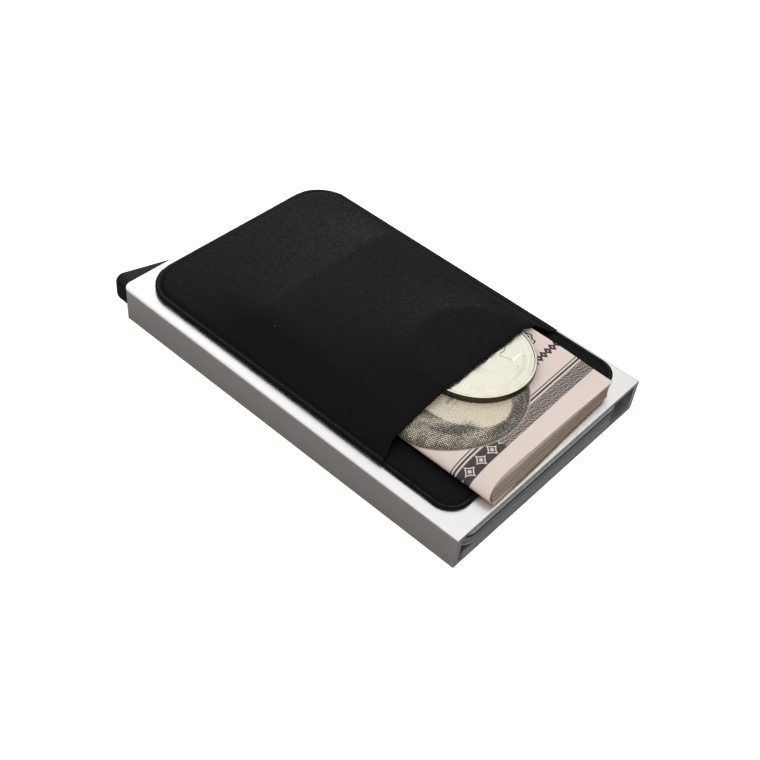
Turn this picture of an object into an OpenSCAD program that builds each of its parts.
// Pop-up card case with a stick-on pocket on its top face.
// Millimetres. X is the width, Y the length, +Z up, pocket side up.
// The origin is the centre of the case's bottom face. The card mouth faces -Y,
// and the trigger lever stands out of the far end, +Y, at its -X corner.

/* [Case] */
// Width of the case
case_w = 64; // [62:0.5:80]
// Length of the case, from the mouth to the lever end
case_l = 100; // [98:0.5:125]
// Height of the case
case_h = 9; // [8.6:0.1:12]
// Thickness of the top and bottom plates
plate_t = 1; // [0.8:0.1:1.3]
// Thickness of the two side walls
wall_t = 1.6; // [1.3:0.1:2.2]
// Radius along the outer long edges
edge_r = 0.7; // [0.4:0.1:1.2]
// Radius along the inner long edges
inner_r = 0.6; // [0.3:0.1:0.8]
// Radius of the two far corners, seen from above
far_corner_r = 2.4; // [0.6:0.1:2.6]
// Height of the lip across the bottom of the mouth
lip_h = 2.2; // [0.5:0.1:2.6]

/* [Cards] */
// Width of a card
card_w = 53.98; // [50:0.01:56]
// Length of a card
card_l = 85.6; // [80:0.1:87]
// Thickness of a card
card_t = 0.76; // [0.6:0.01:0.95]
// Corner radius of a card
card_r = 3.18; // [1:0.01:5]
// Room between two cards
card_play = 0.04; // [0.02:0.01:0.1]
// Room between the stack and the top plate
stack_gap = 0.2; // [0.1:0.05:0.4]
// Room between the cards and each side
side_gap = 0.3; // [0.2:0.05:0.6]
// How far the cards sit inside the mouth; below zero they stand out of it
mouth_inset = -0.5; // [-1:0.1:2]

/* [Lever] */
// Angle through which the lever is pressed
press_angle = 10; // [6:0.5:11]
// Distance of the pivot from the right inner wall
pivot_in_x = 4.9; // [4.6:0.1:6]
// Distance of the pivot from the far end
pivot_in_y = 5.6; // [5.4:0.1:6.5]
// Radius of the pivot pin
pin_r = 1; // [0.8:0.05:1.2]
// Radial clearance of the lever on its pin
pin_play = 0.05; // [0.02:0.01:0.1]
// Radius of the lever's hub
hub_r = 3; // [2.4:0.1:3.4]
// Distance between the noses that push two neighbouring cards
step_pitch = 10.5; // [8:0.5:11]
// How far the thumb tab stands out of the far end
tab_out = 6; // [3:0.1:6]
// Radius of the thumb tab's corner
tab_r = 2.4; // [2:0.1:4]
// Radius of each nose
nose_r = 0.8; // [0.5:0.1:1.2]
// Room between a nose and its card
nose_gap = 0.35; // [0.1:0.05:0.5]
// Room above and below the lever
lever_gap = 0.3; // [0.2:0.05:0.5]

/* [Inner parts] */
// Thickness of the end frame's closing wall
end_wall_t = 1.8; // [1.2:0.1:2.2]
// Thickness of each lug that holds the pin
lug_t = 1.45; // [1.2:0.05:1.6]
// Clearance between the inner parts and the case
fit_gap = 0.05; // [0.03:0.01:0.1]
// How far the guide rail stays back from the mouth
rail_back = 8; // [6:0.5:14]
// Thickness of the spring plate
spring_t = 0.25; // [0.2:0.05:0.35]
// Width of each bowed spring tongue
tongue_w = 9; // [6:0.5:12]
// Length of each bowed spring tongue
tongue_l = 52; // [40:1:60]
// Thickness of the felt pads
felt_t = 0.5; // [0.3:0.1:0.6]
// Wire radius of the return spring
wire_r = 0.2; // [0.15:0.05:0.25]
// Shank radius of the rail screws
screw_r = 0.8; // [0.6:0.05:1]

/* [Pocket] */
// Width of the pocket's backing
pocket_w = 59.3; // [56:0.1:61]
// Length of the pocket's backing
pocket_l = 93.7; // [90:0.1:97]
// Offset of the pocket from the middle, sideways
pocket_dx = 1; // [-1:0.1:1]
// Offset of the pocket from the middle, lengthways
pocket_dy = 1.05; // [0:0.1:2]
// Radius of the pocket's far corners
pocket_far_r = 9; // [5:0.5:12]
// Radius of the pocket's near corners
pocket_near_r = 5; // [3:0.5:8]
// Thickness of the adhesive sheet
glue_t = 0.2; // [0.1:0.05:0.3]
// Thickness of the pocket's backing
backing_t = 0.5; // [0.4:0.05:0.8]
// Thickness of the pocket's front panel
front_t = 0.8; // [0.5:0.05:1]
// Distance of the pocket's mouth from its near edge
mouth_back = 20.6; // [15:0.1:30]
// Room between the front panel and what the pocket holds
pocket_gap = 0.25; // [0.2:0.05:0.5]

/* [Contents of the pocket] */
// Width of the folded banknotes
notes_w = 44.9; // [38:0.1:48]
// Length of the folded banknotes
notes_l = 67; // [60:0.5:79]
// Height of the folded banknotes
notes_h = 2.9; // [2:0.1:4]
// Width of the slope on the folded side
fold_w = 8; // [5:0.5:12]
// Thickness of one folded leaf
leaf_t = 0.44; // [0.3:0.02:0.46]
// Room between two leaves
leaf_gap = 0.05; // [0.03:0.01:0.1]
// How far the lowest sheet edge is fanned out past the top one
fan_out = 2.1; // [0:0.1:3]
// How far the banknotes reach past the pocket's near edge
notes_out = 1.5; // [0:0.1:3]
// Offset of the banknotes from the middle, sideways
notes_dx = 1.45; // [-2:0.05:3]
// Diameter of the coin
coin_d = 27.5; // [20:0.1:31]
// Thickness of the coin
coin_t = 1.8; // [1.2:0.1:2.4]
// Offset of the coin's centre from the middle, sideways
coin_dx = 6.4; // [-8:0.1:9]
// How far the coin's centre lies inside the pocket's mouth
coin_in = 3; // [1:0.1:12]

/* [Hidden] */
$fn = 64;
EPS = 0.01;

// The case's inner faces
in_x = case_w / 2 - wall_t;
floor_z = plate_t;
ceil_z = case_h - plate_t;
mouth_y = -case_l / 2;
end_y = case_l / 2;

// The card stack, counted from the top: card 1 lies under the top plate
card_x0 = -in_x + side_gap;
card_x1 = card_x0 + card_w;
card_y0 = mouth_y + mouth_inset;
card_rear = card_y0 + card_l;
card_pitch = card_t + card_play;
stack_top = ceil_z - stack_gap;
function card_bottom(i) = stack_top - i * card_pitch + card_play;
stack_bottom = card_bottom(4);
lip_top = min(floor_z + lip_h, stack_bottom - 0.4);
lip_t = 1.2;

// The lever's pivot and its pushing noses
pivot = [in_x - pivot_in_x, end_y - pivot_in_y];
lug_r = hub_r + 0.6;
arm_x1 = pivot[0] - lug_r - 0.6;
nose_y = card_rear + nose_gap + nose_r;
first_nose_x = arm_x1 - 11.8;
function nose_x(i) = first_nose_x - (4 - i) * step_pitch;
lever_z0 = floor_z + lever_gap;
lever_z1 = stack_top;
hub_z0 = floor_z + fit_gap + lug_t + 0.1;
hub_z1 = ceil_z - fit_gap - lug_t - 0.1;
neck_z0 = hub_z0 + 1.8;
relief_t = wall_t / 2;
tab_left = -in_x + 0.1;
tab_slope = 17;
recess_slope = press_angle + 1.5;
slot_x = -case_w / 2 + 24;
arm_back = end_y - end_wall_t - 0.6;
relief_y = end_y - 14;

// The guide rail fills the side that the cards leave free
rail_x0 = card_x1 + side_gap;
rail_x1 = in_x - fit_gap;
end_x1 = min(rail_x1 - 1.3, case_w / 2 - far_corner_r);
rail_y0 = mouth_y + rail_back;
rail_y1 = card_rear - 2;
rail_mid = (rail_x0 + rail_x1) / 2;
screw_ys = [rail_y0 + 6, rail_y1 - 6];
head_r = screw_r * 1.9;
head_h = head_r - screw_r;
screw_len = 4.5;

// The bowed tongues press the stack up through their felt pads
felt_top = stack_bottom - 0.06;
tongue_rise = felt_top - felt_t - floor_z - fit_gap - spring_t;
tongue_radius = (pow(tongue_l / 2, 2) + pow(tongue_rise, 2)) / (2 * tongue_rise);
tongue_xs = [card_x0 + 14, card_x1 - 14];
tongue_y = (card_y0 + card_rear) / 2;
plate_y0 = tongue_y - tongue_l / 2 - 6;
plate_y1 = tongue_y + tongue_l / 2 + 6;
felt_l = 10;

// The pocket and its contents, stacked on the top plate
pocket_x0 = pocket_dx - pocket_w / 2;
pocket_x1 = pocket_dx + pocket_w / 2;
pocket_y0 = pocket_dy - pocket_l / 2;
pocket_y1 = pocket_dy + pocket_l / 2;
backing_z = case_h + glue_t;
pad_top = backing_z + backing_t;
notes_z = pad_top + leaf_gap;
notes_top = notes_z + notes_h;
notes_x0 = notes_dx - notes_w / 2;
notes_x1 = notes_dx + notes_w / 2;
notes_y0 = pocket_y0 - notes_out;
notes_y1 = notes_y0 + notes_l;
pocket_mouth_y = pocket_y0 + mouth_back;
coin_y = pocket_mouth_y + coin_in;
coin_z = notes_top + leaf_gap;
coin_top = coin_z + coin_t;

// Sheet outline with its own corner radii at the near and the far end
module sheet_outline(x0, x1, y0, y1, near_r, far_r) {
    translate([x0 + near_r, y0]) square([x1 - x0 - 2 * near_r, y1 - y0 - far_r]);
    translate([x0, y0 + near_r]) square([x1 - x0, y1 - y0 - near_r - far_r]);
    translate([x0 + far_r, y0 + near_r]) square([x1 - x0 - 2 * far_r, y1 - y0 - near_r]);
    for (x = [x0 + near_r, x1 - near_r]) translate([x, y0 + near_r]) circle(near_r);
    for (x = [x0 + far_r, x1 - far_r]) translate([x, y1 - far_r]) circle(far_r);
}

module round_rect(w, h, r) sheet_outline(-w / 2, w / 2, -h / 2, h / 2, r, r);

// A profile drawn in X and Z, carried along Y
module along_y(y0, y1) translate([0, y1, 0]) rotate([90, 0, 0]) linear_extrude(y1 - y0) children();

// A profile drawn in Y and Z, carried along X
module along_x(x0, x1) translate([x0, 0, 0]) rotate([90, 0, 90]) linear_extrude(x1 - x0) children();

module countersunk(r, big_r, depth) {
    cylinder(h = depth, r1 = big_r, r2 = r);
    translate([0, 0, -1]) cylinder(h = 1 + EPS, r = big_r);
}

// ---- Case ----
module case_shell() {
    color([0.86, 0.86, 0.85]) union() {
        // The bottom plate is folded up into a low lip below the cards
        translate([-in_x + 1, mouth_y, floor_z - 0.3])
            cube([card_x1 + in_x - 2, lip_t, lip_top - floor_z + 0.3]);
        difference() {
            intersection() {
                along_y(mouth_y, end_y) translate([0, case_h / 2]) round_rect(case_w, case_h, edge_r);
                translate([0, 0, -1]) linear_extrude(case_h + 2)
                    sheet_outline(-case_w / 2, case_w / 2, mouth_y - far_corner_r, end_y, far_corner_r, far_corner_r);
            }
            along_y(mouth_y - 1, end_y + 1)
                translate([0, case_h / 2]) round_rect(2 * in_x, ceil_z - floor_z, inner_r);
            // Relief inside the left wall, where the thumb tab swings in
            translate([-in_x - relief_t, relief_y, floor_z])
                cube([relief_t + 1, end_y - relief_y + 1, ceil_z - floor_z]);
            translate([pivot[0], pivot[1], -1]) cylinder(h = 1 + floor_z + EPS, r = pin_r + 0.02);
            translate([pivot[0], pivot[1], 0]) countersunk(pin_r + 0.02, 2 * pin_r, plate_t * 0.6);
            for (y = screw_ys) translate([rail_mid, y, 0]) {
                translate([0, 0, -1]) cylinder(h = 1 + floor_z + EPS, r = screw_r + 0.1);
                countersunk(screw_r, head_r + 0.05, head_h + 0.05);
            }
        }
    }
}

// One lug: a round eye for the pin, carried back to the closing wall
module lug(z) translate([0, 0, z]) linear_extrude(lug_t) {
    translate(pivot) circle(lug_r);
    translate([pivot[0] - lug_r, pivot[1]]) square([rail_x1 - pivot[0] + lug_r, end_y - pivot[1] - 0.5]);
}

module end_frame() {
    color([0.10, 0.10, 0.11])
    difference() {
        union() {
            lug(floor_z + fit_gap);
            lug(ceil_z - fit_gap - lug_t);
            translate([slot_x, end_y - end_wall_t, floor_z + fit_gap])
                cube([end_x1 - slot_x, end_wall_t - 0.1, ceil_z - floor_z - 2 * fit_gap]);
        }
        translate([pivot[0], pivot[1], 0]) cylinder(h = case_h, r = pin_r + 0.02);
        intersection() {
            translate([in_x - inner_r, 0, 0]) cube([inner_r + 1, end_y, floor_z + inner_r]);
            along_y(0, end_y) difference() {
                translate([in_x - inner_r, floor_z - 1]) square([inner_r + 1, inner_r + 1]);
                translate([in_x - inner_r, floor_z + inner_r]) circle(inner_r - fit_gap);
            }
        }
        intersection() {
            translate([in_x - inner_r, 0, ceil_z - inner_r]) cube([inner_r + 1, end_y, inner_r + 1]);
            along_y(0, end_y) difference() {
                translate([in_x - inner_r, ceil_z - inner_r]) square([inner_r + 1, inner_r + 1]);
                translate([in_x - inner_r, ceil_z - inner_r]) circle(inner_r - fit_gap);
            }
        }
    }
}

// The pin is a countersunk rivet, so it also holds the end frame in the case
module pivot_pin() {
    color([0.72, 0.72, 0.74]) translate([pivot[0], pivot[1], 0]) {
        translate([0, 0, 0.03]) cylinder(h = ceil_z - 0.1, r = pin_r);
        translate([0, 0, 0.03]) cylinder(h = plate_t * 0.5, r1 = 2 * pin_r - 0.12, r2 = pin_r);
    }
}

// ---- Lever ----
// Layer i of the lever: its nose pushes card i, and past the nose its front edge
// falls back by a little more than the press angle, so it never meets that card
module lever_layer(i) {
    nose = [nose_x(i), nose_y];
    front = nose_y - nose_r / cos(recess_slope);
    inner_left = tab_left + 1.2;
    tab_y = end_y + tab_out;
    tab_x = tab_left + tab_r;
    slope_end = [slot_x - 1.6, tab_y - (slot_x - 1.6 - tab_x) * tan(tab_slope)];
    translate(nose) circle(nose_r);
    translate([tab_x, tab_y - tab_r]) circle(tab_r);
    polygon([
        [arm_x1, arm_back], [slot_x - 0.6, arm_back], slope_end,
        [tab_x + tab_r * sin(tab_slope), tab_y - tab_r + tab_r * cos(tab_slope)],
        [tab_x, tab_y - tab_r], [tab_left, tab_y - tab_r],
        [tab_left, end_y - 2], [inner_left, end_y - 4],
        [inner_left, front + (nose[0] - inner_left) * tan(recess_slope)],
        [nose[0] - nose_r * sin(recess_slope), nose_y - nose_r * cos(recess_slope)],
        nose, [nose[0], nose_y - nose_r], [nose[0] + nose_r * 0.3, nose_y - nose_r * 0.95],
        [arm_x1, pivot[1] - hub_r - 0.6]
    ]);
}

module trigger_lever() {
    color([0.11, 0.11, 0.12])
    difference() {
        union() {
            for (i = [1:4]) {
                z0 = i == 4 ? lever_z0 : card_bottom(i) - card_play / 2;
                translate([0, 0, z0]) linear_extrude(card_bottom(i) + card_t - z0 + (i == 1 ? 0 : card_play / 2))
                    lever_layer(i);
            }
            translate([pivot[0], pivot[1], hub_z0]) cylinder(h = hub_z1 - hub_z0, r = hub_r);
            translate([arm_x1 - 1, pivot[1] - hub_r + 0.4, neck_z0])
                cube([pivot[0] - arm_x1 + 1, 2 * hub_r - 0.8, hub_z1 - neck_z0]);
        }
        translate([pivot[0], pivot[1], 0]) cylinder(h = case_h, r = pin_r + pin_play);
    }
}

// Torsion spring: close coils round the hub, one leg on the case wall, one behind the arm
module return_spring() {
    coil_r = hub_r + 0.15 + wire_r;
    coil_z = hub_z0 + 0.1 + wire_r;
    pitch = 1.8 * wire_r;
    leg_r = 0.85 * wire_r;
    // The second leg follows the lever's front edge, a little in front of it
    arm_leg_angle = atan2(pivot[1] - hub_r - 0.6 - nose_y, arm_x1 - nose_x(4)) - 3;
    color([0.70, 0.70, 0.72]) translate([pivot[0], pivot[1], 0]) {
        rotate_extrude() for (k = [0:2]) translate([coil_r, coil_z + k * pitch]) circle(wire_r, $fn = 24);
        translate([coil_r, 0, coil_z]) rotate([90, 0, 0]) cylinder(h = 9, r = leg_r, $fn = 24);
        rotate(arm_leg_angle) translate([0, -coil_r, coil_z + 2 * pitch])
            rotate([0, -90, 0]) cylinder(h = 8, r = leg_r, $fn = 24);
    }
}

// ---- Inner parts ----
module guide_rail() {
    lead_in = 2.5;
    color([0.10, 0.10, 0.11])
    difference() {
        translate([0, 0, floor_z + fit_gap]) linear_extrude(ceil_z - floor_z - 2 * fit_gap)
            polygon([
                [rail_x0 + lead_in, rail_y0], [rail_x1 - inner_r, rail_y0], [rail_x1 - inner_r, rail_y1],
                [rail_x0, rail_y1], [rail_x0, rail_y0 + 2 * lead_in]
            ]);
        for (y = screw_ys) translate([rail_mid, y, 0]) cylinder(h = screw_len + 1, r = screw_r + 0.02);
    }
}

module rail_screws() {
    color([0.30, 0.30, 0.32])
    for (y = screw_ys) translate([rail_mid, y, 0.03]) difference() {
        union() {
            cylinder(h = head_h, r1 = head_r, r2 = screw_r);
            cylinder(h = screw_len, r = screw_r);
        }
        for (a = [0, 90]) rotate(a) translate([-0.9, -0.17, -1]) cube([1.8, 0.34, 1.45]);
    }
}

// A strip that bows up between its two flat ends
module bowed_strip(t, length) {
    centre_z = floor_z + fit_gap + tongue_rise + spring_t - tongue_radius;
    intersection() {
        translate([-tongue_w / 2, tongue_y, centre_z]) rotate([0, 90, 0]) difference() {
            cylinder(h = tongue_w, r = tongue_radius, $fn = 360);
            translate([0, 0, -1]) cylinder(h = tongue_w + 2, r = tongue_radius - t, $fn = 360);
        }
        translate([-tongue_w, tongue_y - length / 2, floor_z + fit_gap])
            cube([2 * tongue_w, length, case_h]);
    }
}

module spring_plate() {
    slot_gap = 0.8;
    left = -in_x + inner_r + fit_gap;
    color([0.72, 0.72, 0.73]) union() {
        difference() {
            translate([left, plate_y0, floor_z + fit_gap])
                cube([card_x1 - left, plate_y1 - plate_y0, spring_t]);
            for (x = tongue_xs)
                translate([x - tongue_w / 2 - slot_gap, tongue_y - tongue_l / 2 + 1, 0])
                    cube([tongue_w + 2 * slot_gap, tongue_l - 2, case_h]);
        }
        for (x = tongue_xs) translate([x, 0, 0]) bowed_strip(spring_t, tongue_l);
    }
}

module felt_pads() {
    color([0.16, 0.16, 0.17])
    for (x = tongue_xs) translate([x, tongue_y, felt_top - felt_t / 2])
        cube([tongue_w - 1, felt_l, felt_t], center = true);
}

// ---- Cards ----
module card(i) {
    color([0.50, 0.49, 0.47]) translate([0, 0, card_bottom(i)]) linear_extrude(card_t)
        sheet_outline(card_x0, card_x1, card_y0, card_rear, card_r, card_r);
}

// ---- Pocket ----
module adhesive_sheet() {
    edge = 0.8;
    color([0.75, 0.74, 0.70]) translate([0, 0, case_h]) linear_extrude(glue_t)
        sheet_outline(pocket_x0 + edge, pocket_x1 - edge, pocket_y0 + edge, pocket_y1 - edge,
            pocket_near_r - edge, pocket_far_r - edge);
}

module pocket_backing() {
    color([0.13, 0.12, 0.13]) translate([0, 0, backing_z]) linear_extrude(backing_t)
        sheet_outline(pocket_x0, pocket_x1, pocket_y0, pocket_y1, pocket_near_r, pocket_far_r);
}

// A thin slab for the hulls, the banknotes' outline grown by g, its left edge moved by s
module notes_slab(z, g, s) translate([0, 0, z]) linear_extrude(EPS)
    sheet_outline(notes_x0 - g + s, notes_x1 + g, pocket_mouth_y - 40, notes_y1 + g, 1, 1 + g, $fn = 32);

// The raised part of the front panel, over the banknotes and over the coin
module bulge(g) {
    hull() {
        notes_slab(pad_top - EPS, pocket_gap + 1.6 + g, 0);
        notes_slab(pad_top + 1 + g / 2, pocket_gap + 0.4 + g, 0);
        notes_slab(notes_top + pocket_gap + g, pocket_gap + 0.2, fold_w * 0.3);
    }
    hull() for (z = [pad_top, coin_top + pocket_gap + g]) translate([coin_dx, 0, z]) linear_extrude(EPS) {
        grow = pocket_gap + g + (z == pad_top ? 4.5 : 0);
        for (y = [coin_y, pocket_mouth_y - 40]) translate([0, y]) circle(coin_d / 2 + grow, $fn = 48);
    }
}

module pocket_front() {
    edge = 0.05;
    color([0.13, 0.12, 0.13])
    difference() {
        intersection() {
            union() {
                translate([0, 0, pad_top]) linear_extrude(front_t)
                    sheet_outline(pocket_x0 + edge, pocket_x1 - edge, pocket_y0, pocket_y1 - edge,
                        pocket_near_r, pocket_far_r - edge);
                bulge(front_t);
            }
            translate([-case_w, pocket_mouth_y, pad_top]) cube([2 * case_w, case_l, 20]);
            translate([0, 0, pad_top]) linear_extrude(20)
                sheet_outline(pocket_x0 + edge, pocket_x1 - edge, pocket_y0, pocket_y1 - edge,
                    pocket_near_r, pocket_far_r - edge);
        }
        bulge(0);
    }
}

// ---- Contents of the pocket ----
// Folded section, pulled in by d all round: flat below, a long rounded slope on the
// folded side, flat above, and open ended past the free edges
function fold_section(d) = let (
        x0 = notes_x0 + d, z0 = notes_z + d, z1 = notes_top - d,
        knee = z0 + (z1 - z0) * 0.3, rise = z1 - knee, w = fold_w - d * 0.5, drop = knee - z0
    ) concat(
        [[notes_x1 + 5, z0]],
        [for (a = [0:15:90]) [x0 + drop * (1 - sin(a)), z0 + drop * (1 - cos(a))]],
        [for (a = [15:15:90]) [x0 + w * (1 - cos(a)), knee + rise * sin(a)]],
        [[notes_x1 + 5, z1]]
    );

// One folded banknote: leaf k counts from the outside, its free edges cut back by step
module banknote(k, step) {
    d = k * (leaf_t + leaf_gap);
    solid_core = k == 2;
    intersection() {
        along_y(notes_y0 - fan_out - 1, notes_y1 - k * 0.7) difference() {
            polygon(fold_section(d));
            if (!solid_core) polygon(fold_section(d + leaf_t));
        }
        // The near edges slope, because the sheets are fanned out a little
        along_x(notes_x0 - 1, notes_x1 - step) polygon([
            [notes_y0 + k * 0.1, notes_top + 1], [notes_y0 + k * 0.1, notes_top],
            [notes_y0 - fan_out, notes_z], [notes_y0 - fan_out, notes_z - 1],
            [notes_y1, notes_z - 1], [notes_y1, notes_top + 1]
        ]);
    }
}

module banknote_outer() color([0.88, 0.83, 0.79]) banknote(0, 0);
module banknote_middle() color([0.80, 0.76, 0.70]) banknote(1, 0.5);
module banknote_inner() color([0.76, 0.71, 0.64]) banknote(2, 0.9);

module coin() {
    rim = 0.9;
    relief = 0.15;
    color([0.85, 0.84, 0.76]) translate([coin_dx, coin_y, coin_z]) difference() {
        cylinder(h = coin_t, r = coin_d / 2, $fn = 96);
        for (z = [coin_t - relief, relief - 1])
            translate([0, 0, z]) cylinder(h = 1, r = coin_d / 2 - rim, $fn = 96);
    }
}

case_shell();
end_frame();
pivot_pin();
trigger_lever();
return_spring();
guide_rail();
rail_screws();
spring_plate();
felt_pads();
card(1);  // card_1
card(2);  // card_2
card(3);  // card_3
card(4);  // card_4
adhesive_sheet();
pocket_backing();
pocket_front();
banknote_outer();
banknote_middle();
banknote_inner();
coin();
